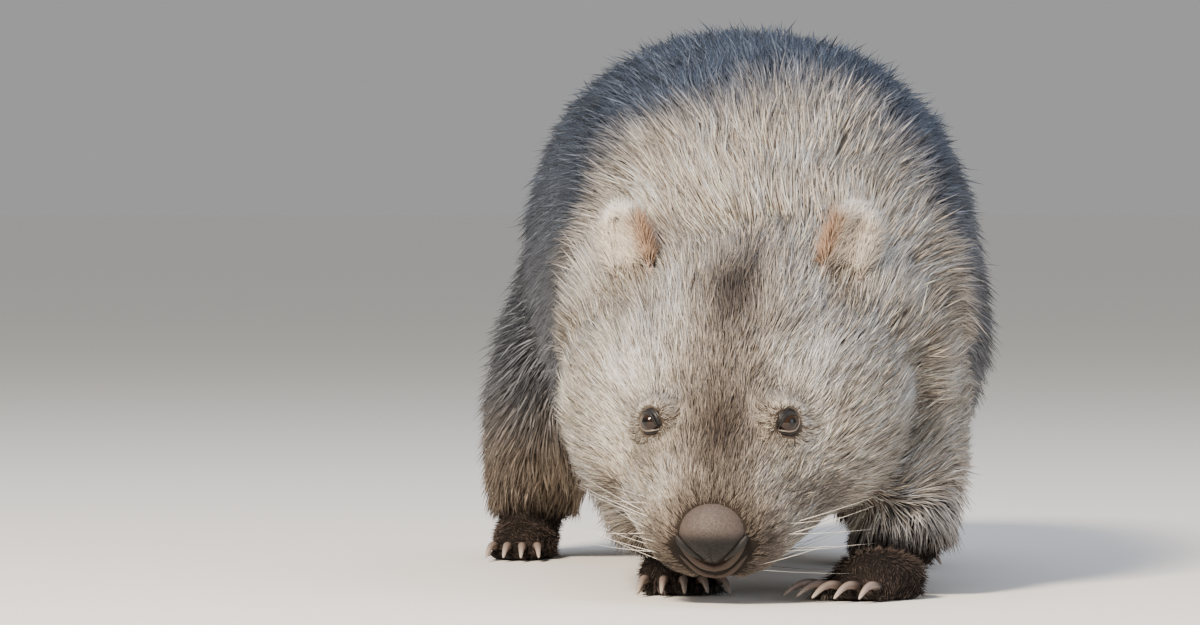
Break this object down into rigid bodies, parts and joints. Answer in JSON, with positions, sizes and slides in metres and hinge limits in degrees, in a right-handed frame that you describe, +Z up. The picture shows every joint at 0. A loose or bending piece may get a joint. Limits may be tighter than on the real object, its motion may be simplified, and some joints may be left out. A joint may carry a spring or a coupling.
{
  "type": "wombat",
  "caption": "Life-size bare-nosed wombat in a thick grey coat, walking with its head low and turned a little to its right.",
  "frame": {"origin": "on the floor, below the middle of the whole animal's bounding box", "axes": "+Z up, the animal faces -Y and its left side is at +X"},
  "size_m": [0.3062, 0.7756, 0.3437],
  "materials": {
    "coat_head": "light warm grey coat of head, ears and neck, each hair darker at its root",
    "coat_back": "dark blue-grey guard hair of the trunk and tail",
    "coat_leg": "grey-brown coat of the legs with paler tips",
    "paw_coat": "short dark brown hair over bare pads",
    "nose_skin": "bare granular grey-brown skin, slightly moist",
    "eye": "dark brown, wet and glossy",
    "claw": "horn, pale pinkish grey, smooth"
  },
  "bodies": {
    "root": {"chest": "coat_back", "claw_fore_left_1": "claw", "claw_fore_left_2": "claw", "claw_fore_left_3": "claw", "claw_fore_left_4": "claw", "claw_fore_left_5": "claw", "claw_fore_right_1": "claw", "claw_fore_right_2": "claw", "claw_fore_right_3": "claw", "claw_fore_right_4": "claw", "claw_fore_right_5": "claw", "claw_hind_left_1": "claw", "claw_hind_left_2": "claw", "claw_hind_left_3": "claw", "claw_hind_left_4": "claw", "claw_hind_right_1": "claw", "claw_hind_right_2": "claw", "claw_hind_right_3": "claw", "claw_hind_right_4": "claw", "ear_left": "coat_head", "ear_right": "coat_head", "eye_left": "eye", "eye_right": "eye", "foreleg_left": "coat_leg", "foreleg_right": "coat_leg", "forepaw_left": "paw_coat", "forepaw_right": "paw_coat", "head": "coat_head", "hindleg_left": "coat_leg", "hindleg_right": "coat_leg", "hindpaw_left": "paw_coat", "hindpaw_right": "paw_coat", "loin": "coat_back", "neck": "coat_head", "nose": "nose_skin", "rump": "coat_back", "tail": "coat_back"}
  },
  "joints": []
}
